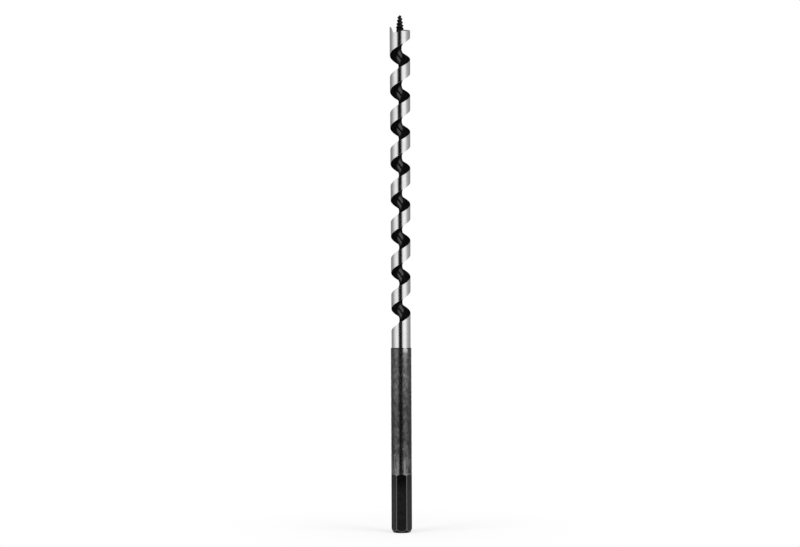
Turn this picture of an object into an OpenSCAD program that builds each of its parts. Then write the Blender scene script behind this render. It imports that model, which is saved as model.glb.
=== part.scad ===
// Auger bit: a tapered lead screw, a head with one spur and one cutting lip,
// a single-flute twist, a round shank and a hexagonal drive end.
// The bit points up along +Z and the origin is the middle of the drive end face.
// All lengths are in millimetres. Azimuths are in degrees from +X, seen from the point.

/* [Overall] */
// Length from the drive end to the point of the lead screw
total_length = 320; // [280:1:420]
// Diameter of the hole that the head cuts
bit_diameter = 12.7; // [12:0.1:16]

/* [Drive end] */
// Width of the hexagon across its flats
hex_across_flats = 11.1; // [10.4:0.1:12]
// Height at which the milled flats have run out
hex_length = 36.1; // [20:0.1:45]
// Length of the cone on the drive end
end_cone_length = 2; // [0.5:0.1:6]
// Radius of the flat end face inside that cone
end_face_radius = 5.2; // [4.2:0.1:5.8]

/* [Shank] */
// Diameter of the round shank
shank_diameter = 12.7; // [12.4:0.1:13.5]
// Length of the round shank
shank_length = 77.3; // [50:0.1:100]
// Diameter of the spigots that seat in the shank
spigot_diameter = 7; // [5:0.1:8]
// Length of those spigots
spigot_length = 10; // [5:0.5:20]

/* [Twist] */
// Rise of the flute in one turn
twist_pitch = 22.42; // [19:0.02:28]
// Angle that the ground land takes up in a cross-section
land_angle = 142; // [110:1:170]
// Radius of the web at the bottom of the flute
web_radius = 1; // [0.8:0.1:2]
// Squareness of the flute, where 2 is an ellipse
flute_power = 2.5; // [2:0.1:3.5]
// Diameter of the twist where it meets the shank
tail_diameter = 11.8; // [10.8:0.1:12]
// Plain length between the shank and the end of the flute
neck_length = 9.3; // [6:0.1:14]
// Angle over which the flute gains its full depth
runout_angle = 90; // [60:5:150]

/* [Head] */
// Length of the head below the cutting lip
head_length = 24; // [22:0.5:30]
// Depth of the head end, from the point of the screw to the cutting lip
lip_depth = 9; // [8.5:0.1:12]
// Azimuth of the cutting lip
lip_azimuth = 77; // [70:1:110]
// Fall of the end face behind the lip
end_fall = 2.4; // [1:0.1:3]
// Rise of the end face to the middle, as a share of that fall
end_crown = 0.75; // [0.5:0.05:1]
// Rise of the step in front of the lead screw, as a share of that fall
end_step = 0.7; // [0.4:0.02:0.8]
// Azimuth at which the throat ahead of the lip is closed
throat_azimuth = 165; // [155:1:175]
// Web radius under the lead screw
head_web_radius = 2.5; // [2.2:0.1:3]
// Length over which the web thickens to that radius
web_blend = 7; // [5:0.5:9]
// Size of the relief ground on the outer corner of the end face
corner_relief = 0.65; // [0.4:0.05:1.2]
// Azimuth of that relief
relief_azimuth = -65; // [-70:5:20]
// Height of the spur's point above the cutting lip
spur_rise = 1.6; // [1:0.1:3]
// Azimuth of the spur's point
spur_azimuth = 180; // [172:1:186]
// Thickness of the spur at its foot
spur_foot = 2.3; // [1.8:0.1:2.5]
// Thickness of the spur below its point
spur_point = 1.2; // [0.8:0.1:1.4]

/* [Lead screw] */
// Pitch of the screw thread
screw_pitch = 2.05; // [1.6:0.05:2.6]
// Crest diameter of the thread at the collar
screw_diameter = 5.4; // [4.8:0.1:5.6]
// Crest diameter of the thread at the point
point_diameter = 2.8; // [2.2:0.1:3.2]
// Depth of the thread
thread_depth = 0.9; // [0.5:0.05:0.95]
// Diameter of the plain collar
collar_diameter = 4.4; // [4:0.1:4.6]
// Height of the collar above its seat
collar_height = 1.9; // [1.8:0.1:4]
// Diameter of the tang below the collar
tang_diameter = 2.6; // [2:0.1:3]
// Length of the tang
tang_length = 6; // [4:0.1:7]
// Azimuth at which the crest leaves the collar
thread_azimuth = 340; // [0:5:355]

/* [Hidden] */
// Clearance around a spigot or tang that is set in a bore
set_gap = 0.02;
// Overlap that keeps a cut or a union from ending on a shared face
over = 1;
// Round left above the flats, at the seat of the shank, and the ease of its edge
hex_shoulder = 0.8;
hex_ease = 0.08;
// Room left in a bore past the end of its spigot
bore_room = 0.5;
// Height of the collar's seat above the low side of the end face
seat_rise = 0.8;
// Length below the end face over which the web keeps its head radius
web_top = 2;
// Where the step of the end face starts and how far it reaches, as shares of the land
step_start = 0.31;
step_width = 0.2;
// Point of the spur: its height, the width of its top, and how far that reaches back
spur_point_height = 0.9;
spur_top = 0.2;
spur_top_behind = 0.3;

// Radii
head_radius = bit_diameter / 2;
shank_radius = shank_diameter / 2;
tail_radius = tail_diameter / 2;
spigot_radius = spigot_diameter / 2;
collar_radius = collar_diameter / 2;
tang_radius = tang_diameter / 2;

// Heights, from the drive end up
z_shank = hex_length + hex_shoulder;
z_neck = z_shank + shank_length;
z_lip = total_length - lip_depth;
z_far = z_lip - end_fall;
z_crown = z_far + end_fall * end_crown;
z_head = z_lip - head_length;
z_seat = z_far + seat_rise;
z_thread = z_seat + collar_height;
z_spur = z_lip + spur_rise;

// Chamfer that steps the shank in to the thinner neck
shank_step = shank_radius - tail_radius;
// Depth of the shank's bores, which leave room past the spigots
bore_length = spigot_length + bore_room + over;

// Steps along the land of a ring, across its flute, and rings in one turn.
// The land of the head reaches further round, so it has more steps.
twist_land_steps = 10;
head_land_steps = 22;
flute_steps = 18;
rings_per_turn = 24;
twist_rings = ceil((z_head - z_neck) / twist_pitch * rings_per_turn);
head_rings = ceil(head_length / twist_pitch * rings_per_turn);

// Points round the lead screw, and the same number of rows in one pitch
screw_points = 16;
screw_rows = floor((total_length - z_thread) / screw_pitch * screw_points);
row_rise = (total_length - z_thread) / (screw_rows + 1);
// Shares of the thread's length over which its crest fades out and its root narrows to the
// point, and the share of the root that is left there
thread_fade = 0.14;
point_taper = 0.08;
point_left = 0.3;

$fn = 96;

function mix(a, b, t) = a + (b - a) * t;
function clip(t) = max(0, min(1, t));
function smooth(t) = clip(t) * clip(t) * (3 - 2 * clip(t));
function polar(r, azimuth, z) = [r * cos(azimuth), r * sin(azimuth), z];

// The twist is ground to a slight taper, widest at the cutting lip
function bar_radius(z) = mix(tail_radius, head_radius, clip((z - z_neck) / (z_lip - z_neck)));

// The web is thin along the twist and thickens to carry the lead screw
function web(z) = mix(web_radius, head_web_radius, smooth((z - z_far + web_blend + web_top) / web_blend));

// Azimuth of the land's leading edge, which climbs as a right-hand helix to the lip
function land_edge(z) = lip_azimuth + 360 * (z - z_lip) / twist_pitch;

// The flute lies between that edge and the trailing edge of the land, one turn on.
// The throat stops the trailing edge, so the land closes in below the spur.
function flute_end(z) = min(land_edge(z) + 360 - land_angle, throat_azimuth);

// The flute starts at this point above the neck and deepens along its own helix
z_runout = z_neck + neck_length;
runout_azimuth = land_edge(z_runout) + (360 - land_angle) / 2;
runout_lean = 360 * twist_pitch / pow(PI * tail_diameter, 2);

// Share of its full depth that the flute has at a point of the bar
function runout(azimuth, z) =
    smooth((azimuth - runout_azimuth + runout_lean * (z - z_runout)) / runout_angle);

// Superellipse across the flute: 1 at its two edges and 0 along its floor
function flute_side(s) = 1 - pow(1 - pow(abs(2 * s - 1), flute_power), 1 / flute_power);

// Places across the flute, closer together at the steep edges
function flute_place(j) = (1 - cos(180 * j / flute_steps)) / 2;

// Rise along the land of the head: a low relief behind the spur, a step up in front of the
// lead screw, and a slope from there to the cutting lip
function end_share(t) =
    mix(end_step * smooth((t - step_start) / step_width), 1, smooth(2 * t - 1));

function flute_radius(s, azimuth, z) =
    let (full = bar_radius(z))
    full - (full - web(z)) * (1 - flute_side(s)) * runout(azimuth, z);

// One closed ring of the fluted bar. Its height may differ between the lip side
// and the far side, which lets the rings of the head lean over to the sloping end face.
function ring(z_lead, z_trail, land_steps) =
    let (lead = land_edge(z_lead), trail = flute_end(z_trail))
    concat(
        [for (i = [0 : land_steps])
            let (t = i / land_steps, z = mix(z_trail, z_lead, end_share(t)))
            polar(bar_radius(z), mix(trail - 360, lead, t), z)],
        [for (j = [1 : flute_steps - 1])
            let (s = flute_place(j), z = mix(z_lead, z_trail, s), azimuth = mix(lead, trail, s))
            polar(flute_radius(s, azimuth, z), azimuth, z)]);
function ring_points(land_steps) = land_steps + flute_steps;

// Triangles between stacked rings, wound to face outwards. The diagonal follows the thread
// of a screw, and otherwise stands upright so that a turning land stays round.
function band(rings, count, threaded = false) =
    [for (k = [0 : rings - 1], i = [0 : count - 1], half = [0, 1])
        let (a = k * count, b = a + count, n = (i + 1) % count)
        threaded
            ? (half == 0 ? [a + i, b + n, a + n] : [a + i, b + i, b + n])
            : (half == 0 ? [a + i, b + i, a + n] : [a + n, b + i, b + n])];

// One flat of the hexagon: everything outside it, up to a 45 degree run-out
module flat_cutter() {
    depth = shank_radius - hex_across_flats / 2;
    reach = depth + over;
    rotate([90, 0, -90])
        translate([0, 0, -shank_diameter])
            linear_extrude(2 * shank_diameter)
                translate([hex_across_flats / 2, 0])
                    polygon([
                        [0, -over],
                        [reach, -over],
                        [reach, hex_length + over],
                        [0, hex_length - depth]]);
}

// Drive end: a round bar with six milled flats, coned at the end, and a spigot on top
module hex_drive() {
    color([0.08, 0.08, 0.085])
        difference() {
            rotate_extrude()
                polygon([
                    [0, 0],
                    [end_face_radius, 0],
                    [shank_radius, end_cone_length],
                    [shank_radius, hex_length],
                    [shank_radius - hex_ease, z_shank],
                    [spigot_radius, z_shank],
                    [spigot_radius, z_shank + spigot_length],
                    [0, z_shank + spigot_length]]);
            for (side = [0 : 5])
                rotate(60 * side)
                    flat_cutter();
        }
}

// Round shank: a plain bar bored at both ends, with its upper edge chamfered to the neck
module round_shank() {
    color([0.30, 0.30, 0.31])
        difference() {
            union() {
                translate([0, 0, z_shank])
                    cylinder(r = shank_radius, h = shank_length - shank_step);
                translate([0, 0, z_neck - shank_step])
                    cylinder(r1 = shank_radius, r2 = tail_radius, h = shank_step);
            }
            for (z = [z_shank - over, z_neck + over - bore_length])
                translate([0, 0, z])
                    cylinder(r = spigot_radius + set_gap, h = bore_length);
        }
}

// Twist: the fluted bar from the neck to the head, with a spigot for the shank
module twist_body() {
    heights = [for (k = [0 : twist_rings]) mix(z_neck, z_head, k / twist_rings)];
    points = [for (z = heights) each ring(z, z, twist_land_steps)];
    count = ring_points(twist_land_steps);
    foot = [for (i = [0 : count - 1]) i];
    top = [for (i = [count - 1 : -1 : 0]) twist_rings * count + i];
    color([0.74, 0.74, 0.75])
        union() {
            polyhedron(points, concat([foot], band(twist_rings, count), [top]));
            translate([0, 0, z_neck - spigot_length])
                cylinder(r = spigot_radius, h = spigot_length + over);
        }
}

// Head: the last turn of the fluted bar, rising to the cutting lip on its end face
module fluted_head() {
    shares = [for (k = [0 : head_rings]) k / head_rings];
    rings = [for (t = shares)
        each ring(mix(z_head, z_lip, t), mix(z_head, z_far, t), head_land_steps)];
    points = concat(rings, [[0, 0, z_crown]]);
    count = ring_points(head_land_steps);
    last = head_rings * count;
    foot = [for (i = [0 : count - 1]) i];
    crown = [for (i = [0 : count - 1]) [last + i, last + count, last + (i + 1) % count]];
    polyhedron(points, concat([foot], band(head_rings, count), crown));
}

// Spur: a tooth on the cutting circle, filed flat on the inside to a keen leading edge
module spur() {
    foot = z_far - over;
    z_point = z_spur - spur_point_height;
    lean = (spur_foot - spur_point) / (z_point - z_far);
    behind = head_radius * sin(spur_azimuth - throat_azimuth);
    rotate(spur_azimuth)
        intersection() {
            translate([0, 0, foot])
                cylinder(r = head_radius, h = z_spur - foot);
            rotate([90, 0, 0])
                linear_extrude(2 * head_radius, center = true)
                    polygon([
                        [head_radius - spur_foot - lean * over, foot],
                        [head_radius + over, foot],
                        [head_radius + over, z_spur],
                        [head_radius - spur_top, z_spur],
                        [head_radius - spur_point, z_point]]);
            rotate([90, 0, 90])
                linear_extrude(head_radius + over)
                    polygon([
                        [-behind, foot],
                        [head_radius, foot],
                        [head_radius, z_spur],
                        [-spur_top_behind * behind, z_spur],
                        [-behind, z_lip]]);
        }
}

// Relief: everything outside a plane that leans in at 45 degrees over the rim of the end face
module corner_cutter() {
    reach = head_radius;
    share = (relief_azimuth - throat_azimuth + 360) / (lip_azimuth - throat_azimuth + 360);
    z_rim = mix(z_far, z_lip, end_share(share));
    rotate(relief_azimuth)
        translate([head_radius - corner_relief, 0, z_rim])
            rotate([0, -45, 0])
                translate([0, -reach, -reach])
                    cube([reach, 2 * reach, 2 * reach]);
}

// Cutting head: fluted end, spur, and the seat and bore for the lead screw
module cutting_head() {
    color([0.70, 0.70, 0.71])
        difference() {
            union() {
                fluted_head();
                spur();
            }
            corner_cutter();
            translate([0, 0, z_seat])
                cylinder(r = collar_radius + set_gap, h = lip_depth);
            translate([0, 0, z_seat - tang_length])
                cylinder(r = tang_radius + set_gap, h = tang_length + over);
        }
}

// Crest and root of the thread shrink together to the point
function thread_share(row) = row / (screw_rows + 1);
function crest_radius(t) = mix(screw_diameter, point_diameter, t) / 2;
function crest_height(t) = thread_depth * clip((1 - t) / thread_fade);
function root_radius(t) = (crest_radius(t) - thread_depth) * mix(point_left, 1, clip((1 - t) / point_taper));

// Thread as a wave round each row, shifted by one point a row so that the crest stays sharp
function thread_wave(i, row) =
    let (step = ((row - i) % screw_points + screw_points) % screw_points)
    abs(2 * step / screw_points - 1);
function thread_radius(i, row) =
    let (t = thread_share(row))
    root_radius(t) + crest_height(t) * thread_wave(i, row);

// Lead screw: tapered right-hand thread on a collar, with a tang that sets in the head
module lead_screw() {
    points = concat(
        [for (row = [0 : screw_rows], i = [0 : screw_points - 1])
            let (azimuth = thread_azimuth + 360 * i / screw_points)
            polar(thread_radius(i, row), azimuth, z_thread + row * row_rise)],
        [[0, 0, total_length]]);
    last = screw_rows * screw_points;
    foot = [for (i = [0 : screw_points - 1]) i];
    tip = [for (i = [0 : screw_points - 1]) [last + i, last + screw_points, last + (i + 1) % screw_points]];
    color([0.12, 0.12, 0.125])
        union() {
            polyhedron(points, concat([foot], band(screw_rows, screw_points, true), tip));
            translate([0, 0, z_seat])
                cylinder(r = collar_radius, h = collar_height);
            translate([0, 0, z_seat - tang_length + set_gap])
                cylinder(r = tang_radius, h = tang_length);
        }
}

hex_drive();
round_shank();
twist_body();
cutting_head();
lead_screw();
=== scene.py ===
# %% [markdown]
# # An auger bit for boring wood
# The bit stands on its drive end and points up along +Z. Everything is in metres.
# The solids of the part are loaded first, and they fix where each piece sits. Each
# solid is then dressed with a finer mesh of the same form and gets its own finish.

# %% Load the frame
import math

import bmesh
import bpy
import numpy as np
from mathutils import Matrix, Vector, noise


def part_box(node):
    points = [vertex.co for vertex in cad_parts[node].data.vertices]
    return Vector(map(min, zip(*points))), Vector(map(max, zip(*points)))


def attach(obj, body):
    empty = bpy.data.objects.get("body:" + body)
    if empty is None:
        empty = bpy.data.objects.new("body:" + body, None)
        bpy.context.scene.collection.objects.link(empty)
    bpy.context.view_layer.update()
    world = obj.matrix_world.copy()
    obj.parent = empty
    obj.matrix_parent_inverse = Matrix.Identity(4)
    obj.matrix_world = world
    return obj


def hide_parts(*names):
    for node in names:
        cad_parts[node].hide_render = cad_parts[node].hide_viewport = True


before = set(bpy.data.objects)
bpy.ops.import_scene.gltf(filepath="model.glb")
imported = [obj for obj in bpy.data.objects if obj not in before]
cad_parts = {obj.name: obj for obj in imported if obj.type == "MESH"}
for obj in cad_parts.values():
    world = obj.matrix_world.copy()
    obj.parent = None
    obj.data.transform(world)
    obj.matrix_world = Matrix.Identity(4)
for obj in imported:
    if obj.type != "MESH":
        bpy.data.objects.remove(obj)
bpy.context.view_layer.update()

print("nodes:", ", ".join(sorted(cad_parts)))

# %% [markdown]
# ## Heights and radii
# The seats between the pieces are read from the solids, so the dressed pieces meet
# where the solids meet. Sizes that a box can't give are written out once, here. The end
# face of the head slopes from the cutting lip down to its far side, and the crown and the
# seat of the lead screw are counted from there.

# %% Heights and radii
MM = 0.001
shank_radius = 6.35 * MM
head_radius = 6.35 * MM
tail_radius = 5.9 * MM
end_face_radius = 5.2 * MM
end_cone = 2.0 * MM
lip_depth = 9 * MM
end_fall = 2.4 * MM
crown_rise = 1.8 * MM
seat_rise = 0.8 * MM
collar_length = 1.9 * MM
spur_rise = 1.6 * MM

z_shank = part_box("round_shank")[0].z
z_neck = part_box("round_shank")[1].z
z_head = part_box("twist_body")[1].z
total_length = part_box("lead_screw")[1].z
z_lip = total_length - lip_depth
z_far = z_lip - end_fall
z_crown = z_far + crown_rise
z_seat = z_far + seat_rise
z_thread = z_seat + collar_length
z_spur = z_lip + spur_rise
print("shank", round(z_shank / MM, 1), "to", round(z_neck / MM, 1), "mm")
print("length", round(total_length / MM, 1), "mm")

# %% [markdown]
# ## The camera
# The bit was photographed upright from the side, with a long lens at about its middle
# height. An 85 mm lens on a 36 mm sensor gives the same slight perspective, and the
# distance follows from how many pixels the bit is tall. The photograph leans a little,
# so the camera is rolled by the same fraction of a degree.

# %% The camera
lens = 85
sensor = 36
picture_width = 800
pixel = 0.619 * MM
camera_side = -0.5 * MM
camera_height = 160.05 * MM
camera_roll = 0.227
camera_distance = lens / sensor * picture_width * pixel


def add_object(name, data):
    """A new object, linked to the scene."""
    added = bpy.data.objects.new(name, data)
    bpy.context.scene.collection.objects.link(added)
    return added


camera_data = bpy.data.cameras.new("camera")
camera_data.lens = lens
camera_data.sensor_width = sensor
camera = add_object("camera", camera_data)
camera.location = (camera_side, -camera_distance, camera_height)
camera.rotation_euler = (math.radians(90), math.radians(camera_roll), 0)
bpy.context.scene.camera = camera
print("camera", round(camera_distance, 4), "m away")

# %% [markdown]
# ## Node helpers
# A shader is a tree of nodes. A few short helpers place a node with its settings and
# wire its inputs, so that each finish below reads as a list of what it is made of.

# %% Node helpers
def place(tree, kind, inputs=None, **settings):
    """Adds a node, sets its settings, and sets or links its inputs."""
    node = tree.nodes.new(kind)
    for name, value in settings.items():
        setattr(node, name, value)
    for name, value in (inputs or {}).items():
        if isinstance(value, bpy.types.NodeSocket):
            tree.links.new(value, node.inputs[name])
        else:
            node.inputs[name].default_value = value
    return node


def calc(tree, operation, *values):
    """A Math node: returns its result."""
    return place(tree, "ShaderNodeMath", dict(enumerate(values)), operation=operation).outputs[0]


def ramp(tree, value, low, high, to_low=0.0, to_high=1.0):
    """A smooth step from to_low at low to to_high at high."""
    inputs = {"Value": value, "From Min": low, "From Max": high, "To Min": to_low, "To Max": to_high}
    return place(tree, "ShaderNodeMapRange", inputs, interpolation_type="SMOOTHSTEP").outputs[0]


def grey(level):
    return (level, level, level, 1)


print("helpers: place, calc, ramp, grey")

# %% [markdown]
# Most masks depend on where a point lies. Object coordinates say so in metres. All pieces of
# the bit share them, because each keeps its origin at the middle of the drive end.

# %% Place on the bit
def position(tree):
    """Where a point lies, as a vector."""
    return place(tree, "ShaderNodeTexCoord").outputs["Object"]


def along(tree, axis, vector):
    """One axis of a vector."""
    return place(tree, "ShaderNodeSeparateXYZ", {"Vector": vector}).outputs[axis]


def vector_calc(tree, operation, *values):
    """A Vector Math node: returns its vector, or its number for a length or a dot product."""
    node = place(tree, "ShaderNodeVectorMath", dict(enumerate(values)), operation=operation)
    return node.outputs["Value" if operation in ("LENGTH", "DOT_PRODUCT") else "Vector"]


print("helpers: position, along, vector_calc")

# %% [markdown]
# ## Rings
# The light tent and every piece of the bit but the spur are stacks of rings round an axis.
# A ring may have any radius at any direction, so two helpers serve for a ball, a fluted bar,
# a thread and a hexagon alike.

# %% Rings
def polar(radius, degrees, z):
    """Points at a radius and a direction from the axis, and at a height."""
    turn = np.radians(degrees)
    return np.stack(np.broadcast_arrays(radius * np.cos(turn), radius * np.sin(turn), z), axis=-1)


def stack_faces(rows, columns, threaded=False):
    """Faces between stacked rings. Along a thread each is split on the line of the crest."""
    faces = []
    for row in range(rows - 1):
        for c in range(columns):
            low, low_next = row * columns + c, row * columns + (c + 1) % columns
            high, high_next = low + columns, low_next + columns
            if threaded:
                faces += [(low, low_next, high_next), (low, high_next, high)]
            else:
                faces.append((low, low_next, high_next, high))
    return faces


print("helpers: polar, stack_faces")

# %% [markdown]
# ## The studio
# Polished steel is dark or bright by what it mirrors. In the photograph it seems to mirror a
# bright light tent on both sides and a dark slot where the camera looks in, which gives the
# dark stripe down every ground surface. The tent is open and dark at the top, and its light
# runs on below, up to the bit's own dark shadow at its foot. Lamps would show in the metal as
# separate patches. So the tent is a wide ball that only mirrors can see, and its brightness
# changes with the direction round the bit. The camera sees a plain white surround instead.

# %% The light tent
TENT_RADIUS = 2.0
TENT_COLUMNS = 96
TENT_ROWS = 48
TENT_STRENGTH = 1.12
TENT_DARK = 0.02
# direction round the bit in degrees, with 0 at the camera and + to its right: share of the strength
TENT_LEVELS = [(-180, 0.25), (-125, 0.26), (-100, 0.38), (-85, 0.60), (-60, 0.90), (-37, 0.94),
               (-23, 0.004), (11, 0.004), (24, 0.91), (45, 1.0), (60, 0.92), (76, 0.58),
               (92, 0.39), (130, 0.29), (180, 0.25)]
# heights from the middle of the ball, as shares of its radius: where the tent ends and the shadow begins
TENT_TOP = (0.40, 0.62)
TENT_FOOT = (-0.94, -0.86)


def bare_material(name):
    """A material with an empty tree."""
    material = bpy.data.materials.new(name)
    material.use_nodes = True
    material.node_tree.nodes.clear()
    return material, material.node_tree


def tent_material():
    material, tree = bare_material("light_tent")
    where = position(tree)
    back = calc(tree, "MULTIPLY", along(tree, "Y", where), -1.0)
    turn = calc(tree, "ARCTAN2", along(tree, "X", where), back)
    share = calc(tree, "ADD", calc(tree, "DIVIDE", turn, 2 * math.pi), 0.5)
    levels = place(tree, "ShaderNodeValToRGB", {"Fac": share})
    stops = levels.color_ramp.elements
    while len(stops) < len(TENT_LEVELS):
        stops.new(0.5)
    for stop, (degrees, level) in zip(stops, TENT_LEVELS):
        stop.position = degrees / 360 + 0.5
        stop.color = grey(level)
    height = calc(tree, "DIVIDE", along(tree, "Z", where), TENT_RADIUS)
    top = ramp(tree, height, *TENT_TOP, TENT_STRENGTH, TENT_DARK)
    foot = ramp(tree, height, *TENT_FOOT, TENT_DARK, 1.0)
    level = calc(tree, "MULTIPLY", calc(tree, "MULTIPLY", levels.outputs["Color"], top), foot)
    glow = place(tree, "ShaderNodeEmission", {"Strength": level})
    place(tree, "ShaderNodeOutputMaterial", {"Surface": glow.outputs[0]})
    return material


def tent_mesh():
    directions = 360 * np.arange(TENT_COLUMNS) / TENT_COLUMNS
    tilts = math.pi * (np.arange(TENT_ROWS + 1) / TENT_ROWS - 0.5)
    rings = [polar(TENT_RADIUS * np.cos(tilt), directions, TENT_RADIUS * np.sin(tilt)) for tilt in tilts]
    mesh = bpy.data.meshes.new("light_tent")
    mesh.from_pydata(np.concatenate(rings).tolist(), [], stack_faces(len(rings), TENT_COLUMNS))
    return mesh


tent = add_object("light_tent", tent_mesh())
tent.location = (0, 0, total_length / 2)
tent.data.materials.append(tent_material())
tent.visible_camera = False
tent.visible_diffuse = False
tent.visible_shadow = False
tent.visible_transmission = False
print("light tent", TENT_RADIUS, "m in radius")

# %% [markdown]
# The floor is a plain pale sheet. Away from the bit the camera sees it plain white, and
# near the foot a share of its shading, so the soft shadow stays. Mirrors don't see it.

# %% The floor
FLOOR_HALF = 6.0
FLOOR_GREY = 0.8
SHADOW_NEAR = 0.02
SHADOW_FAR = 0.14
SHADOW_WHITE = 0.6


def floor_material():
    material, tree = bare_material("pale_floor")
    shaded = place(tree, "ShaderNodeBsdfDiffuse", {"Color": grey(FLOOR_GREY)})
    white = place(tree, "ShaderNodeEmission", {"Color": grey(1.0), "Strength": 1.0})
    seen = place(tree, "ShaderNodeLightPath").outputs["Is Camera Ray"]
    away = vector_calc(tree, "LENGTH", position(tree))
    share = calc(tree, "MULTIPLY", seen, ramp(tree, away, SHADOW_NEAR, SHADOW_FAR, SHADOW_WHITE, 1.0))
    both = place(tree, "ShaderNodeMixShader", {0: share, 1: shaded.outputs[0], 2: white.outputs[0]})
    place(tree, "ShaderNodeOutputMaterial", {"Surface": both.outputs[0]})
    return material


floor_mesh = bpy.data.meshes.new("floor")
floor_mesh.from_pydata([(-FLOOR_HALF, -FLOOR_HALF, 0), (FLOOR_HALF, -FLOOR_HALF, 0),
                        (FLOOR_HALF, FLOOR_HALF, 0), (-FLOOR_HALF, FLOOR_HALF, 0)], [], [(0, 1, 2, 3)])
floor = add_object("floor", floor_mesh)
floor.data.materials.append(floor_material())
floor.visible_glossy = False
print("floor", 2 * FLOOR_HALF, "m wide")

# %% [markdown]
# The surround is plain white to the camera and a little dimmer as a light. Two large soft
# lamps, left and right of the camera, add the rest, and mirrors don't see them.

# %% The surround and the lamps
SURROUND_LIGHT = 0.7
LAMP_WIDTH = 0.7
LAMP_HEIGHT = 1.0
LAMP_POWER = 9
LAMP_SIDE = 0.9
LAMP_AHEAD = 0.6
LAMP_UP = 0.7

world = bpy.data.worlds.new("white_surround")
bpy.context.scene.world = world
world.use_nodes = True
world_tree = world.node_tree
world_tree.nodes.clear()
path = place(world_tree, "ShaderNodeLightPath").outputs
mirrored = calc(world_tree, "MAXIMUM", path["Is Glossy Ray"], path["Is Transmission Ray"])
direct = calc(world_tree, "MAXIMUM", path["Is Camera Ray"], mirrored)
strength = ramp(world_tree, direct, 0.0, 1.0, SURROUND_LIGHT, 1.0)
sky = place(world_tree, "ShaderNodeBackground", {"Color": grey(1.0), "Strength": strength})
place(world_tree, "ShaderNodeOutputWorld", {"Surface": sky.outputs[0]})

for side, name in ((-1, "lamp_left"), (1, "lamp_right")):
    lamp_data = bpy.data.lights.new(name, "AREA")
    lamp_data.shape = "RECTANGLE"
    lamp_data.size = LAMP_WIDTH
    lamp_data.size_y = LAMP_HEIGHT
    lamp_data.energy = LAMP_POWER
    lamp = add_object(name, lamp_data)
    lamp.location = (side * LAMP_SIDE, -LAMP_AHEAD, LAMP_UP)
    aim = Vector((0, 0, total_length / 2)) - lamp.location
    lamp.rotation_euler = aim.to_track_quat("-Z", "Y").to_euler()
    lamp.visible_glossy = False
print("white surround and two soft lamps")

# %% [markdown]
# ## Shared effects
# Three effects turn up in more than one finish, so each is a node group with its own
# inputs and outputs. A group only gives masks and values; the shader stays in the material.

# %% Group builder
def new_group(name, inputs, outputs):
    """An empty shader node group, with its input and output nodes."""
    group = bpy.data.node_groups.new(name, "ShaderNodeTree")
    for label, value in inputs.items():
        socket = group.interface.new_socket(label, in_out="INPUT", socket_type="NodeSocketFloat")
        socket.default_value = value
    for label in outputs:
        group.interface.new_socket(label, in_out="OUTPUT", socket_type="NodeSocketFloat")
    return group, group.nodes.new("NodeGroupInput").outputs, group.nodes.new("NodeGroupOutput").inputs


def use_group(tree, group, inputs=None):
    return place(tree, "ShaderNodeGroup", inputs, node_tree=group).outputs


def stretched_noise(tree, across, lengthways, detail=3.0, roughness=0.55):
    """Noise with its own scale across the bit and along it, in cycles per metre."""
    scale = place(tree, "ShaderNodeCombineXYZ", {"X": across, "Y": across, "Z": lengthways}).outputs[0]
    stretched = vector_calc(tree, "MULTIPLY", position(tree), scale)
    inputs = {"Vector": stretched, "Scale": 1.0, "Detail": detail, "Roughness": roughness}
    return place(tree, "ShaderNodeTexNoise", inputs).outputs["Fac"]


print("helpers: new_group, use_group, stretched_noise")

# %% [markdown]
# **Grinding lines.** The land was ground while the bar turned, so its fine lines run
# round the bit. Noise that is stretched hard round the axis gives such lines. A second,
# broader one changes their tone.

# %% Grinding lines
BROAD_LINES = 0.12


def grinding_group():
    tree, given, out = new_group("grinding_lines", {"Along": 5200.0, "Around": 320.0}, ["Lines", "Tone"])
    lines = stretched_noise(tree, given["Around"], given["Along"], 2.0)
    broad = stretched_noise(tree, given["Around"], calc(tree, "MULTIPLY", given["Along"], BROAD_LINES), 2.0)
    tree.links.new(lines, out["Lines"])
    tree.links.new(ramp(tree, broad, 0.3, 0.7), out["Tone"])
    return tree


grinding_lines = grinding_group()
print("group", grinding_lines.name)

# %% [markdown]
# **Mill scale.** A hot-rolled bar keeps a dark skin with lighter blotches a millimetre or
# two across, drawn out a little along the bar, and with fine pits between them. Here and
# there it carries a cluster of nicks: one spot in each cell of a Voronoi pattern, kept only
# where a broad noise is high.

# %% Mill scale
PIT_FINENESS = 4.0
NICK_FINENESS = 0.8
CLUSTER_FINENESS = 0.2


def scale_group():
    outputs = ["Blotches", "Pits", "Nicks"]
    tree, given, out = new_group("mill_scale", {"Size": 600.0, "Stretch": 0.6}, outputs)
    drawn_out = calc(tree, "MULTIPLY", given["Size"], given["Stretch"])
    blotches = stretched_noise(tree, given["Size"], drawn_out, 4.0, 0.6)
    fine = calc(tree, "MULTIPLY", given["Size"], PIT_FINENESS)
    pits = stretched_noise(tree, fine, fine, 3.0, 0.6)
    cells = {"Vector": position(tree), "Scale": calc(tree, "MULTIPLY", given["Size"], NICK_FINENESS)}
    spots = place(tree, "ShaderNodeTexVoronoi", cells).outputs["Distance"]
    broad = calc(tree, "MULTIPLY", given["Size"], CLUSTER_FINENESS)
    clusters = ramp(tree, stretched_noise(tree, broad, broad, 1.0), 0.54, 0.64)
    nicks = calc(tree, "MULTIPLY", ramp(tree, spots, 0.15, 0.4, 1.0, 0.0), clusters)
    tree.links.new(ramp(tree, blotches, 0.36, 0.66), out["Blotches"])
    tree.links.new(ramp(tree, pits, 0.35, 0.6), out["Pits"])
    tree.links.new(nicks, out["Nicks"])
    return tree


mill_scale = scale_group()
print("group", mill_scale.name)

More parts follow.
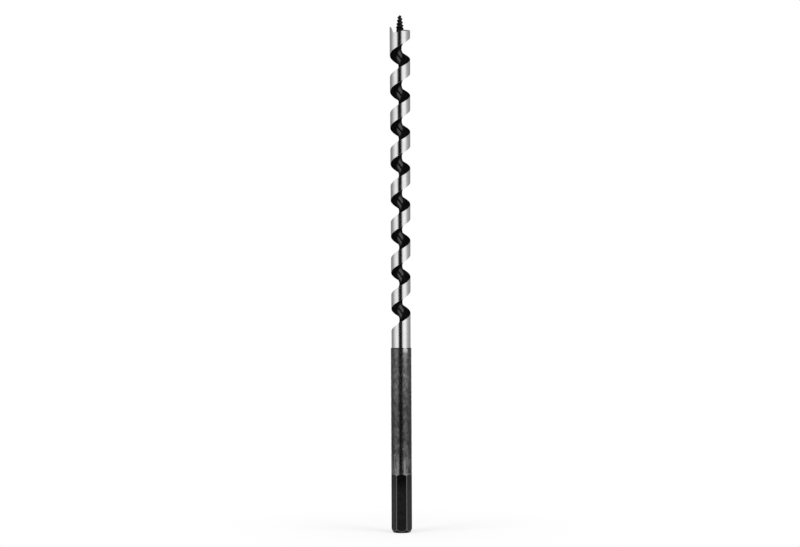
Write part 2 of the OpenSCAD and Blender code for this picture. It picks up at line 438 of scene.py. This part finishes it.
# %% [markdown]
# **Ground skin.** Only what the grinding wheel reached is bright: the land at the full
# radius of the bar. The faces could have two materials, but then the border would follow
# the mesh. So the radius of a point is compared with the bar's own, which tapers a little
# from the head to the neck, and a ragged margin follows the edge of the land. The group
# gives the radius out as well, because some finishes change with the depth.

# %% Ground skin
LAND_MARGIN = 0.06 * MM
MARGIN_GRAIN = 1500.0


def sideways(tree, where):
    """The place without its height, which points straight out from the axis of the bit."""
    return vector_calc(tree, "MULTIPLY", where, (1, 1, 0))


def ground_group():
    tree, given, out = new_group(
        "ground_skin",
        {"Tail": tail_radius, "Head": head_radius, "Foot": z_neck, "Lip": z_lip, "Margin": LAND_MARGIN},
        ["Ground", "Radius"])
    where = position(tree)
    radius = vector_calc(tree, "LENGTH", sideways(tree, where))
    taper = {"Value": along(tree, "Z", where), "From Min": given["Foot"], "From Max": given["Lip"],
             "To Min": given["Tail"], "To Max": given["Head"]}
    full = place(tree, "ShaderNodeMapRange", taper).outputs[0]
    depth = calc(tree, "SUBTRACT", full, radius)
    grain = stretched_noise(tree, MARGIN_GRAIN, MARGIN_GRAIN, 2.0)
    ragged = calc(tree, "MULTIPLY_ADD", calc(tree, "SUBTRACT", grain, 0.5), given["Margin"], depth)
    shallow = calc(tree, "DIVIDE", ragged, given["Margin"])
    tree.links.new(ramp(tree, shallow, 0.6, 1.4, 1.0, 0.0), out["Ground"])
    tree.links.new(radius, out["Radius"])
    return tree


ground_skin = ground_group()
print("group", ground_skin.name)

# %% [markdown]
# ## Finishes
# Each finish is one shader whose colour and roughness change from place to place. A mask
# picks between two greys, two colours or two numbers, and a bump adds the finest relief.

# %% Blends and bumps
def new_finish(name):
    """A material, its tree and the inputs of its shader."""
    material = bpy.data.materials.new(name)
    material.use_nodes = True
    tree = material.node_tree
    return material, tree, tree.nodes["Principled BSDF"].inputs


def wire_bump(tree, shader, height, strength, distance):
    bump = place(tree, "ShaderNodeBump", {"Height": height, "Strength": strength, "Distance": distance})
    tree.links.new(bump.outputs["Normal"], shader["Normal"])


def blend_values(tree, share, first, second):
    """A number between first and second."""
    return place(tree, "ShaderNodeMix", {0: share, 2: first, 3: second}).outputs[0]


def blend_colours(tree, share, first, second):
    """A colour between first and second."""
    return place(tree, "ShaderNodeMix", {0: share, 6: first, 7: second}, data_type="RGBA").outputs[2]


def blend_greys(tree, share, levels):
    """A grey between two levels."""
    return blend_colours(tree, share, grey(levels[0]), grey(levels[1]))


print("helpers: new_finish, wire_bump, blend_values, blend_colours, blend_greys")

# %% [markdown]
# ** Ground steel** covers the twist and the head: bright ground land and a black flute.
# Both belong to one material, because on the real bit one bar was blackened first and
# then ground on the outside. The ground skin mask picks between the two. The black is
# matt, except deep in the flute, where chips have polished it: a coat gives that gloss,
# and Layer Weight takes it back where the flute is seen at a slant. Where the end face of the
# head looks up, its black is painted a dark grey, a painted sheen that shows its form.

# %% Ground steel
LAND_GREYS = (0.74, 0.80)
LAND_ROUGHNESS = (0.15, 0.22)
FLUTE_GREYS = (0.0015, 0.005)
FLUTE_ROUGHNESS = (0.12, 0.20)
# painted sheen on the end face of the head
END_FACE_SHEEN_GREYS = (0.018, 0.04)
END_FACE_FADE = 0.3 * MM
POLISHED_TO = 1.3 * MM
MATT_FROM = 2.6 * MM
LINE_DEPTH = 0.02 * MM


def end_face_mask(tree):
    """1 on the end of the head: high up on the bit and facing up."""
    upward = along(tree, "Z", place(tree, "ShaderNodeNewGeometry").outputs["Normal"])
    high = ramp(tree, along(tree, "Z", position(tree)), z_far - END_FACE_FADE, z_far)
    return calc(tree, "MULTIPLY", high, ramp(tree, upward, 0.4, 0.8))


def ground_steel_finish():
    material, tree, shader = new_finish("ground_steel")
    shader["Specular IOR Level"].default_value = 0.0
    shader["Coat IOR"].default_value = 1.75
    shader["Coat Roughness"].default_value = 0.22
    skin = use_group(tree, ground_skin)
    ground = skin["Ground"]
    deep = ramp(tree, skin["Radius"], POLISHED_TO, MATT_FROM, 1.0, 0.0)
    slant = place(tree, "ShaderNodeLayerWeight", {"Blend": 0.5}).outputs["Facing"]
    square_on = ramp(tree, slant, 0.1, 0.55, 1.0, 0.0)
    tree.links.new(calc(tree, "MULTIPLY", deep, square_on), shader["Coat Weight"])
    lines = use_group(tree, grinding_lines)
    scale = use_group(tree, mill_scale, {"Size": 900.0, "Stretch": 1.0})
    black = blend_greys(tree, scale["Blotches"], FLUTE_GREYS)
    # painted sheen: the end face, where it looks up, gets a dark grey in place of the flute's black
    end_blend = blend_greys(tree, scale["Blotches"], END_FACE_SHEEN_GREYS)
    dark = blend_colours(tree, end_face_mask(tree), black, end_blend)
    bright = blend_greys(tree, lines["Tone"], LAND_GREYS)
    tree.links.new(blend_colours(tree, ground, dark, bright), shader["Base Color"])
    tree.links.new(ground, shader["Metallic"])
    dark_rough = ramp(tree, scale["Pits"], 0.0, 1.0, *FLUTE_ROUGHNESS)
    bright_rough = ramp(tree, lines["Lines"], 0.25, 0.75, *LAND_ROUGHNESS)
    tree.links.new(blend_values(tree, ground, dark_rough, bright_rough), shader["Roughness"])
    relief = calc(tree, "MULTIPLY", lines["Lines"], ground)
    wire_bump(tree, shader, relief, strength=0.04, distance=LINE_DEPTH)
    return material


ground_steel = ground_steel_finish()
print("finish", ground_steel.name)

# %% [markdown]
# **Filed steel** is the inside of the spur, which is brought to its edge with a file. It is
# nearly as bright as the ground land, with coarser lines.

# %% Filed steel
FILED_GREYS = (0.66, 0.76)
FILED_ROUGHNESS = (0.2, 0.3)


def filed_steel_finish():
    material, tree, shader = new_finish("filed_steel")
    lines = use_group(tree, grinding_lines, {"Along": 2600.0, "Around": 500.0})
    tree.links.new(blend_greys(tree, lines["Tone"], FILED_GREYS), shader["Base Color"])
    shader["Metallic"].default_value = 1.0
    tree.links.new(ramp(tree, lines["Lines"], 0.25, 0.75, *FILED_ROUGHNESS), shader["Roughness"])
    wire_bump(tree, shader, lines["Lines"], strength=0.3, distance=LINE_DEPTH)
    return material


filed_steel = filed_steel_finish()
print("finish", filed_steel.name)

# %% [markdown]
# ** Scaled steel** is the round shank. Its dark skin is blotchy and only half shiny. At
# the top the grinding wheel ran over the edge on one side. The lower half is darker, and
# near the drive end it is lighter in streaks: rub marks of the chuck with a painted
# highlight in them. A picture wrapped round the bar would show a seam, and noise in object
# coordinates has none.

# %% Scaled steel
OVERRUN_AZIMUTH = -65
OVERRUN_LENGTH = 4.2 * MM
OVERRUN_EDGE = math.cos(math.radians(17))
OVERRUN_CORE = math.cos(math.radians(5))
OVERRUN_GREY = 0.66
OVERRUN_ROUGHNESS = 0.42
OVERRUN_RAGGED = 1.2 * MM
UPPER_SHANK_GREYS = (0.085, 0.18)
# the shank is darker towards its lower half
LOWER_SHANK_GREYS = (0.055, 0.125)
# lighter streaks near the drive end: rub marks with a painted highlight
SCUFF_AND_HIGHLIGHT_GREY = 0.27
NICK_GREY = 0.3
SCALE_ROUGHNESS = (0.34, 0.25)
SCALE_DEPTH = 0.03 * MM
# heights above the foot of the shank: where the darker skin and the lighter streaks begin, and where they
# are full
DARKER_HEIGHTS = (56 * MM, 36 * MM)
SCUFF_AND_HIGHLIGHT_HEIGHTS = (14 * MM, 3 * MM)


def overrun_mask(tree, where, height):
    """1 where the grinding wheel ran on to the shank, with a faint tail below."""
    turn = math.radians(OVERRUN_AZIMUTH)
    outward = (math.cos(turn), math.sin(turn), 0)
    away = vector_calc(tree, "NORMALIZE", sideways(tree, where))
    facing = vector_calc(tree, "DOT_PRODUCT", away, outward)
    ragged = calc(tree, "SUBTRACT", stretched_noise(tree, 900.0, 900.0, 2.0), 0.5)
    edge = calc(tree, "MULTIPLY_ADD", ragged, OVERRUN_RAGGED, height)
    sunk = ramp(tree, edge, z_neck - OVERRUN_LENGTH, z_neck - 0.3 * OVERRUN_LENGTH)
    tail = ramp(tree, edge, z_neck - 4 * OVERRUN_LENGTH, z_neck - OVERRUN_LENGTH, 0.0, 0.12)
    reached = calc(tree, "MAXIMUM", sunk, tail)
    return calc(tree, "MULTIPLY", reached, ramp(tree, facing, OVERRUN_EDGE, OVERRUN_CORE))


def scaled_steel_finish():
    material, tree, shader = new_finish("scaled_steel")
    where = position(tree)
    height = along(tree, "Z", where)
    above = calc(tree, "SUBTRACT", height, z_shank)
    overrun = overrun_mask(tree, where, height)
    scale = use_group(tree, mill_scale, {"Size": 620.0, "Stretch": 0.6})
    lines = use_group(tree, grinding_lines)
    lighter_above = blend_greys(tree, scale["Blotches"], UPPER_SHANK_GREYS)
    darker_below = blend_greys(tree, scale["Blotches"], LOWER_SHANK_GREYS)
    dark = blend_colours(tree, ramp(tree, above, *DARKER_HEIGHTS), lighter_above, darker_below)
    streaks = ramp(tree, stretched_noise(tree, 800.0, 50.0, 2.0), 0.42, 0.6)
    # lighter streaks near the drive end: rub marks with a painted highlight
    scuffs_and_highlight = calc(tree, "MULTIPLY", ramp(tree, above, *SCUFF_AND_HIGHLIGHT_HEIGHTS), streaks)
    with_scuffs_and_highlight = blend_colours(tree, scuffs_and_highlight, dark, grey(SCUFF_AND_HIGHLIGHT_GREY))
    skin = blend_colours(tree, calc(tree, "MULTIPLY", scale["Nicks"], 0.5), with_scuffs_and_highlight, grey(NICK_GREY))
    tree.links.new(blend_colours(tree, overrun, skin, grey(OVERRUN_GREY)), shader["Base Color"])
    shader["Metallic"].default_value = 1.0
    skin_rough = ramp(tree, scale["Blotches"], 0.0, 1.0, *SCALE_ROUGHNESS)
    tree.links.new(blend_values(tree, overrun, skin_rough, OVERRUN_ROUGHNESS), shader["Roughness"])
    dents = calc(tree, "MULTIPLY_ADD", scale["Nicks"], -2.0, scale["Pits"])
    relief = calc(tree, "ADD", dents, calc(tree, "MULTIPLY", lines["Lines"], overrun))
    wire_bump(tree, shader, relief, strength=0.3, distance=SCALE_DEPTH)
    return material


scaled_steel = scaled_steel_finish()
print("finish", scaled_steel.name)

# %% [markdown]
# ** Black steel** is the smooth black oxide of the drive end and the lead screw. The screw
# has the duller skin of the two. What stands out furthest is rubbed lighter, and the ground
# skin mask finds it: the crest of the thread, and what is left of the round bar between the
# flats. Pointiness would find edges too, but it blots where points lie close together. The
# flats are blackest at their upper end. Their lower edge on the end cone, a line of
# scallops, carries a painted highlight: it is where a point lies just inside the cone. The
# end cone is painted shade: the rubbed skin stops near its top edge, and below it the cone is
# near-black and mirrors nothing, which a metal with a black base colour gives.

# %% Black steel
OXIDE_GREYS = (0.003, 0.007)
LOWER_FLAT_GREYS = (0.005, 0.009)
# near-black: the upper end of the flats, and painted shade on the end cone
DEEPEST_BLACK = 0.0005
# painted highlight along the scallops at the foot of the flats
SCALLOP_HIGHLIGHT_GREY = 0.06
RUBBED_GREY = 0.22
OXIDE_ROUGHNESS = (0.24, 0.34)
OXIDE_DEPTH = 0.02 * MM
# how far the rubbed skin is pulled in on the end cone, leaving painted shade below it
FOOT_SHADE_INSET = 0.5 * MM
# the flats turn darker from this height up, fully so after the fade
FLAT_DARKENING_FROM = 23 * MM
FLAT_DARKENING_FADE = 11 * MM
# depths inside the cone: where the painted highlight along the scallops begins, and where it ends
SCALLOP_BEGIN = (0.02 * MM, 0.05 * MM)
SCALLOP_END = (0.2 * MM, 0.4 * MM)
screw_diameter = 5.4 * MM
point_diameter = 2.8 * MM
round_bar = {"Tail": end_face_radius + FOOT_SHADE_INSET, "Head": shank_radius, "Foot": 0.0, "Lip": end_cone,
             "Margin": 0.075 * MM}
thread_crest = {"Tail": screw_diameter / 2, "Head": point_diameter / 2, "Foot": z_thread,
                "Lip": total_length, "Margin": 0.12 * MM}


def foot_masks(tree, height, radius):
    """Two masks: the end cone, and the lower edge of the flats, just inside the cone."""
    line = {"Value": height, "From Max": end_cone, "To Min": end_face_radius, "To Max": shank_radius}
    cone = place(tree, "ShaderNodeMapRange", line).outputs[0]
    inset = calc(tree, "SUBTRACT", cone, radius)
    inside = ramp(tree, inset, *SCALLOP_BEGIN)
    band = calc(tree, "MULTIPLY", inside, ramp(tree, inset, *SCALLOP_END, 1.0, 0.0))
    scallops = calc(tree, "MULTIPLY", band, ramp(tree, height, end_cone, 1.3 * end_cone, 1.0, 0.0))
    low = ramp(tree, height, 0.6 * end_cone, 0.8 * end_cone, 1.0, 0.0)
    return calc(tree, "MULTIPLY", calc(tree, "SUBTRACT", 1.0, inside), low), scallops


def black_steel_finish(name, standing_out, gloss, rubbing, milled):
    material, tree, shader = new_finish(name)
    shader["Specular IOR Level"].default_value = gloss
    scale = use_group(tree, mill_scale, {"Size": 700.0, "Stretch": 0.5})
    skin = use_group(tree, ground_skin, standing_out)
    rubbed = calc(tree, "MULTIPLY", skin["Ground"], rubbing)
    metal = rubbed
    black = blend_greys(tree, scale["Blotches"], OXIDE_GREYS)
    if milled:
        height = along(tree, "Z", position(tree))
        # the flats are darker towards their upper end
        upper_darkening = ramp(tree, height, FLAT_DARKENING_FROM, FLAT_DARKENING_FROM + FLAT_DARKENING_FADE)
        lower_flat_black = blend_greys(tree, scale["Blotches"], LOWER_FLAT_GREYS)
        flats = blend_colours(tree, upper_darkening, lower_flat_black, grey(DEEPEST_BLACK))
        # painted shade on the lower end cone, and a painted highlight along the scallops
        on_cone, scallops = foot_masks(tree, height, skin["Radius"])
        edged = blend_colours(tree, scallops, flats, grey(SCALLOP_HIGHLIGHT_GREY))
        black = blend_colours(tree, on_cone, edged, grey(DEEPEST_BLACK))
        metal = calc(tree, "MAXIMUM", rubbed, on_cone)
    tree.links.new(blend_colours(tree, rubbed, black, grey(RUBBED_GREY)), shader["Base Color"])
    tree.links.new(metal, shader["Metallic"])
    tree.links.new(ramp(tree, scale["Pits"], 0.0, 1.0, *OXIDE_ROUGHNESS), shader["Roughness"])
    wire_bump(tree, shader, scale["Pits"], strength=0.15, distance=OXIDE_DEPTH)
    return material


black_steel = black_steel_finish("black_steel", round_bar, gloss=0.4, rubbing=1.0, milled=True)
dull_black_steel = black_steel_finish("dull_black_steel", thread_crest, gloss=0.12, rubbing=0.15,
                                      milled=False)
print("finishes", black_steel.name, dull_black_steel.name)

# %% [markdown]
# ## From rings to a piece
# The rings of a piece are closed at both ends, welded where points fall together, and shaded
# smooth with sharp creases. The piece is then hung on the root body, and the solid of the
# node that it replaces is hidden.

# %% From rings to a piece
WELD_DISTANCE = 0.002 * MM
LEAST_EDGE = 0.001 * MM
SHARP_ANGLE = math.radians(32)


def mix(a, b, share):
    return a + (b - a) * share


def smooth(share):
    share = np.clip(share, 0, 1)
    return share * share * (3 - 2 * share)


def closed_stack(rings, foot, top, threaded=False):
    """Points and faces of stacked rings, closed by a fan at each end."""
    rows, columns = len(rings), len(rings[0])
    points = [tuple(p) for ring_points in rings for p in ring_points] + [tuple(foot), tuple(top)]
    faces = stack_faces(rows, columns, threaded)
    last = (rows - 1) * columns
    faces += [((c + 1) % columns, c, rows * columns) for c in range(columns)]
    faces += [(last + c, last + (c + 1) % columns, rows * columns + 1) for c in range(columns)]
    return points, faces


def weld(mesh):
    """Joins points that fall on one place, and drops the faces that vanish with them."""
    work = bmesh.new()
    work.from_mesh(mesh)
    bmesh.ops.remove_doubles(work, verts=work.verts, dist=WELD_DISTANCE)
    bmesh.ops.dissolve_degenerate(work, edges=work.edges, dist=LEAST_EDGE)
    work.to_mesh(mesh)
    work.free()


def make_piece(name, points, faces, material, node):
    """A welded, smooth piece with sharp creases, which stands for a node of the frame."""
    mesh = bpy.data.meshes.new(name)
    mesh.from_pydata(points, [], faces)
    weld(mesh)
    mesh.shade_smooth()
    mesh.set_sharp_from_angle(angle=SHARP_ANGLE)
    mesh.materials.append(material)
    piece = add_object(name, mesh)
    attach(piece, "root")
    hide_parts(node)
    print("piece", name, len(points), "points")
    return piece


print("helpers: mix, smooth, closed_stack, weld, make_piece")

# %% [markdown]
# ## The twist
# A single flute runs up the bar as a right-hand helix, and what is left of the bar's
# skin is the land. Twisting a flat strip would give a double spiral, so the section is
# drawn instead: round along the land, a rounded square trough across the flute, turned a
# little further for each ring. The edges of the land get a small chamfer to catch light.

# %% Section of the fluted bar
twist_pitch = 22.42 * MM
land_angle = 142
lip_azimuth = 77
throat_azimuth = 165
web_radius = 1.0 * MM
head_web_radius = 2.5 * MM
web_blend = 7 * MM
web_top = 2 * MM
flute_power = 2.5
neck_length = 9.3 * MM
runout_angle = 90
end_step = 0.7
step_start = 0.31
step_width = 0.2
EDGE_DROP = 0.06 * MM
EDGE_WIDTH = 0.1 * MM


def bar_radius(z):
    return mix(tail_radius, head_radius, np.clip((z - z_neck) / (z_lip - z_neck), 0, 1))


def web(z):
    return mix(web_radius, head_web_radius, smooth((z - z_far + web_blend + web_top) / web_blend))


def land_edge(z):
    return lip_azimuth + 360 * (z - z_lip) / twist_pitch


def flute_end(z):
    return min(land_edge(z) + 360 - land_angle, throat_azimuth)


z_runout = z_neck + neck_length
runout_azimuth = land_edge(z_runout) + (360 - land_angle) / 2
runout_lean = 360 * twist_pitch / (math.pi * 2 * tail_radius) ** 2


def runout(degrees, z):
    """0 on the plain neck and 1 in the full flute, along the flute's own helix."""
    return smooth((degrees - runout_azimuth + runout_lean * (z - z_runout)) / runout_angle)


def end_share(share):
    """How far the end face has risen at a share of the way from its far side to the lip."""
    return mix(end_step * smooth((share - step_start) / step_width), 1, smooth(2 * share - 1))


def flute_side(share):
    """Height of the trough's wall across the flute: 1 at both sides and 0 in the middle."""
    return 1 - (1 - np.abs(2 * share - 1) ** flute_power) ** (1 / flute_power)


def bar_ring(z_lead, z_trail, land_steps, flute_steps):
    """One ring of the fluted bar. Its lip side and its far side may differ in height."""
    lead, trail = land_edge(z_lead), flute_end(z_trail) - 360
    edge = math.degrees(EDGE_WIDTH / head_radius) / (lead - trail)
    share = np.concatenate([[0], np.linspace(edge, 1 - edge, land_steps - 1), [1]])
    degrees = mix(trail, lead, share)
    z = mix(z_trail, z_lead, end_share(share))
    radius = bar_radius(z)
    for corner, turned in ((0, degrees[0] + 360), (-1, degrees[-1])):
        radius[corner] -= EDGE_DROP * runout(turned, z[corner])
    land = polar(radius, degrees, z)
    across = (1 - np.cos(np.pi * np.arange(1, flute_steps) / flute_steps)) / 2
    degrees = mix(lead, trail + 360, across)
    z = mix(z_lead, z_trail, across)
    full = bar_radius(z)
    radius = full - (full - web(z)) * (1 - flute_side(across)) * runout(degrees, z)
    return np.concatenate([land, polar(radius, degrees, z)])


print("flute starts", round(z_runout / MM, 1), "mm up, at", round(runout_azimuth), "degrees")

# %% [markdown]
# The twist itself is a tall stack of such rings, from the neck to the foot of the head. A
# turn has enough of them that the outline of the land stays smooth from close by.

# %% The twist
TWIST_LAND_STEPS = 36
FLUTE_STEPS = 56
RINGS_PER_TURN = 72
twist_rings = math.ceil((z_head - z_neck) / twist_pitch * RINGS_PER_TURN)
twist_heights = np.linspace(z_neck, z_head, twist_rings + 1)
rings = [bar_ring(z, z, TWIST_LAND_STEPS, FLUTE_STEPS) for z in twist_heights]
points, faces = closed_stack(rings, (0, 0, z_neck), (0, 0, z_head))
make_piece("twist", points, faces, ground_steel, "twist_body")

# %% [markdown]
# ## The cutting head
# The head is the end of the same bar. Cutting it with a Boolean would leave ragged faces
# along the rim. So the rings lean over step by step, until the last one is the rim of the
# sloping end face, high at the cutting lip and low at the spur. The throat narrows the flute
# ahead of the lip. The outer corner of the end face is relieved by two small planes at 45
# degrees, so that it doesn't rub in the hole.

# %% The fluted end of the head
HEAD_LAND_STEPS = 64
HEAD_RINGS = 84
END_LOOPS = 12
END_HOLLOW = 1.7
RIM = 0.05 * MM
# azimuth of each relief in degrees, and its width
corner_reliefs = [(-65, 0.65 * MM), (-8, 0.4 * MM)]


def rim_height(degrees):
    share = (degrees - throat_azimuth + 360) / (lip_azimuth - throat_azimuth + 360)
    return mix(z_far, z_lip, end_share(share))


def relieve(ring_points):
    """Presses points down to the planes that are ground over the outer corner of the end face."""
    pressed = ring_points.copy()
    for degrees, size in corner_reliefs:
        turn = math.radians(degrees)
        outward = pressed[:, 0] * math.cos(turn) + pressed[:, 1] * math.sin(turn)
        limit = rim_height(degrees) - (outward - (head_radius - size))
        pressed[:, 2] = np.minimum(pressed[:, 2], limit)
    return pressed


rings = [bar_ring(mix(z_head, z_lip, share), mix(z_head, z_far, share), HEAD_LAND_STEPS, FLUTE_STEPS)
         for share in np.linspace(0, 1, HEAD_RINGS + 1)]
rim = rings[-1].copy()
rings[-1][:, 2] -= RIM
rim[:, :2] *= 1 - RIM / np.linalg.norm(rim[:, :2], axis=1, keepdims=True)
crown = np.array([0, 0, z_crown])
for share in np.arange(END_LOOPS) / END_LOOPS:
    loop = mix(rim, crown, share)
    loop[:, 2] = mix(rim[:, 2], z_crown, share ** END_HOLLOW)
    rings.append(loop)
rings = [relieve(ring_points) for ring_points in rings]
points, faces = closed_stack(rings, (0, 0, z_head), crown)
make_piece("head", points, faces, ground_steel, "cutting_head")

# %% [markdown]
# The spur is a tooth on the rim that scores the hole before the lip lifts the chip. It is
# ground on the outside like the land and filed flat on the inside. The rings of the head
# could be pulled up to form it, but the filed flat would cut across them. So it is a piece of
# its own that sinks into the head, drawn as sections along the cutting circle, from its back
# to where the filed flat runs out through the wall.

# %% The spur
SPUR_STEPS = 48
SPUR_ROWS = 20
SPUR_PROUD = 0.002 * MM
spur_azimuth = 180
spur_sink = 0.4 * MM
spur_bevel = 0.9 * MM
spur_back = 0.3
# thickness at the end face, at the foot of the bevel and at the point
spur_thicknesses = (2.3 * MM, 1.2 * MM, 0.2 * MM)
inside_heights = [z_far, z_spur - spur_bevel, z_spur]
inside_places = [head_radius - thickness for thickness in spur_thicknesses]
behind = head_radius * math.sin(math.radians(spur_azimuth - throat_azimuth))
ahead = math.sqrt(head_radius ** 2 - inside_places[0] ** 2)


def spur_section(place_along):
    """The closed outline of the spur at one place along the cutting circle."""
    keen = np.interp(math.sqrt(head_radius ** 2 - place_along ** 2), inside_places, inside_heights)
    back = np.interp(place_along, [-behind, -spur_back * behind], [z_lip, z_spur])
    z = np.linspace(z_far - spur_sink, min(keen, back), SPUR_ROWS)
    wall = np.minimum(bar_radius(z) + SPUR_PROUD, head_radius)
    outer = np.sqrt(wall ** 2 - place_along ** 2)
    inner = np.minimum(np.interp(z, inside_heights, inside_places), outer)
    depth = np.concatenate([outer, inner[::-1]])
    return np.stack([-depth, np.full_like(depth, -place_along), np.concatenate([z, z[::-1]])], axis=-1)


sections = [spur_section(place_along) for place_along in np.linspace(-behind, ahead, SPUR_STEPS)]
points, faces = closed_stack(sections, sections[0].mean(axis=0), sections[-1].mean(axis=0))
spur = make_piece("spur", points, faces, ground_steel, "cutting_head")
spur.data.materials.append(filed_steel)
for face in spur.data.polygons:
    nearest = min(spur.data.vertices[corner].co.xy.length for corner in face.vertices)
    face.material_index = 0 if nearest > head_radius - EDGE_DROP else 1

# %% [markdown]
# ## The lead screw
# A tapered thread, above a plain collar, pulls the bit into the wood. A Screw modifier would
# wind a profile of one size, and this thread gets smaller towards its point, so its rings
# are worked out instead. The crest of a thread is a helix. The mesh has as many rows in one
# pitch as points in one turn, and each face is split along the crest, which stays sharp
# without a dense mesh.

# %% The lead screw
SCREW_POINTS = 48
thread_depth = 0.9 * MM
thread_azimuth = 340
thread_pitch = 2.047 * MM
thread_fade = 0.14
crest_cut = 0.95
point_taper = 0.08
point_left = 0.3
collar_radius = 2.2 * MM
COLLAR_EDGE = 0.13 * MM
COLLAR_GAP = 0.1 * COLLAR_EDGE
row_rise = thread_pitch / SCREW_POINTS
screw_rows = math.floor((total_length - z_thread) / row_rise)
screw_degrees = thread_azimuth + 360 * np.arange(SCREW_POINTS) / SCREW_POINTS


def thread_ring(row):
    share = row * row_rise / (total_length - z_thread)
    crest = mix(screw_diameter, point_diameter, share) / 2
    root = (crest - thread_depth) * mix(point_left, 1, min(1, (1 - share) / point_taper))
    wave = np.abs(2 * ((row - np.arange(SCREW_POINTS)) % SCREW_POINTS) / SCREW_POINTS - 1)
    depth = thread_depth * min(1, (1 - share) / thread_fade)
    return polar(root + depth * np.minimum(wave, crest_cut), screw_degrees, z_thread + row * row_rise)


collar = [(z_seat, collar_radius), (z_thread - COLLAR_EDGE, collar_radius),
          (z_thread - COLLAR_GAP, collar_radius - COLLAR_EDGE)]
rings = [polar(radius, screw_degrees, np.full(SCREW_POINTS, z)) for z, radius in collar]
rings += [thread_ring(row) for row in range(screw_rows)]
points, faces = closed_stack(rings, (0, 0, z_seat), (0, 0, total_length), threaded=True)
make_piece("lead_screw_thread", points, faces, dull_black_steel, "lead_screw")

# %% [markdown]
# ## The shank
# A plain round bar with its top edge sloped in to the neck. A rolled bar is never quite
# true, so the surface dips by up to about a tenth of a millimetre here and there, which
# makes the edges of its reflections ragged. A bump in the material would leave the outline
# straight, so the rings themselves are moved. Where the wheel ran over the edge, the step is
# ground down to a long slope.

# %% The shank
BAR_POINTS = 144
SHANK_ROWS = 220
STEP_ROWS = 10
WAVE_DEPTH = 0.1 * MM
WAVE_SIZE = 2.2 * MM
WAVE_LEVEL = 0.2
bar_degrees = 360 * np.arange(BAR_POINTS) / BAR_POINTS
shank_step = shank_radius - tail_radius
overrun_reach = smooth((np.cos(np.radians(bar_degrees - OVERRUN_AZIMUTH)) - OVERRUN_EDGE)
                       / (OVERRUN_CORE - OVERRUN_EDGE))


def dips(z):
    """A small inward wander of the surface at one height, 0 or more."""
    places = polar(shank_radius, bar_degrees, z) / WAVE_SIZE
    return np.array([WAVE_DEPTH * max(0, noise.noise(Vector(p)) + WAVE_LEVEL) for p in places])


def shank_ring(z):
    below = z_neck - z
    radius = tail_radius + shank_step * smooth(below / shank_step) - dips(z) * smooth(below / OVERRUN_LENGTH)
    ground = tail_radius + shank_step * below / OVERRUN_LENGTH
    return polar(mix(radius, np.minimum(radius, ground), overrun_reach), bar_degrees, z)


shank_heights = np.concatenate([np.linspace(z_shank, z_neck - shank_step, SHANK_ROWS),
                                np.linspace(z_neck - shank_step, z_neck, STEP_ROWS)[1:]])
rings = [shank_ring(z) for z in shank_heights]
points, faces = closed_stack(rings, (0, 0, z_shank), (0, 0, z_neck))
make_piece("shank", points, faces, scaled_steel, "round_shank")

# %% [markdown]
# ## The drive end
# Six flats are milled on the end of the same bar and run out upwards at 45 degrees, so
# each ends in an arch. They could be cut from a cylinder and bevelled. It is simpler to take
# the smallest of three radii at every point, the round bar, the end cone and the flat, which
# gives the arches and the scallops by itself. Where two radii meet the corner is eased a
# little, and more at both ends of the flats, where the edges stand out and wear.

# %% The drive end
SIDES = 6
FIRST_FLAT = -90
FLAT_POINTS = 32
FOOT_ROWS = 26
FLAT_ROWS = 56
TOP_ROWS = 28
EASE = 0.1 * MM
WORN_EASE = 0.25 * MM
WORN_LENGTH = 1.0 * MM
hex_half = 5.55 * MM
hex_length = 36.1 * MM
side_angle = 360 / SIDES
flat_share = np.sin(np.linspace(-0.5, 0.5, FLAT_POINTS + 1) * math.pi)[:-1]
across_flat = np.degrees(np.arctan(math.tan(math.radians(side_angle / 2)) * flat_share))
hex_degrees = np.concatenate([FIRST_FLAT + side_angle * side + across_flat for side in range(SIDES)])
from_flat = np.tile(across_flat, SIDES)
z_runout_foot = hex_length - (shank_radius - hex_half)
z_worn_foot = end_cone + WORN_LENGTH
z_worn_top = z_runout_foot - WORN_LENGTH


def eased_minimum(a, b, ease):
    """The smaller of two radii, rounded where they cross."""
    mixed = np.clip(0.5 + 0.5 * (b - a) / ease, 0, 1)
    return b * (1 - mixed) + a * mixed - ease * mixed * (1 - mixed)


def drive_ring(z):
    cone = mix(end_face_radius, shank_radius, min(1, z / end_cone))
    flat = (hex_half + max(0, z - z_runout_foot)) / np.cos(np.radians(from_flat))
    end_blend = smooth(max(z_worn_foot - z, z - z_worn_top) / WORN_LENGTH)
    return polar(eased_minimum(cone, flat, mix(EASE, WORN_EASE, end_blend)), hex_degrees, z)


drive_heights = np.concatenate([np.linspace(0, z_worn_foot, FOOT_ROWS),
                                np.linspace(z_worn_foot, z_worn_top, FLAT_ROWS)[1:],
                                np.linspace(z_worn_top, z_shank, TOP_ROWS)[1:]])
rings = [drive_ring(z) for z in drive_heights]
points, faces = closed_stack(rings, (0, 0, 0), (0, 0, z_shank))
make_piece("drive_end", points, faces, black_steel, "hex_drive")

# %% [markdown]
# ## The view
# Colours are shown as they are written, with the standard view.

# %% The view
bpy.context.scene.view_settings.view_transform = "Standard"
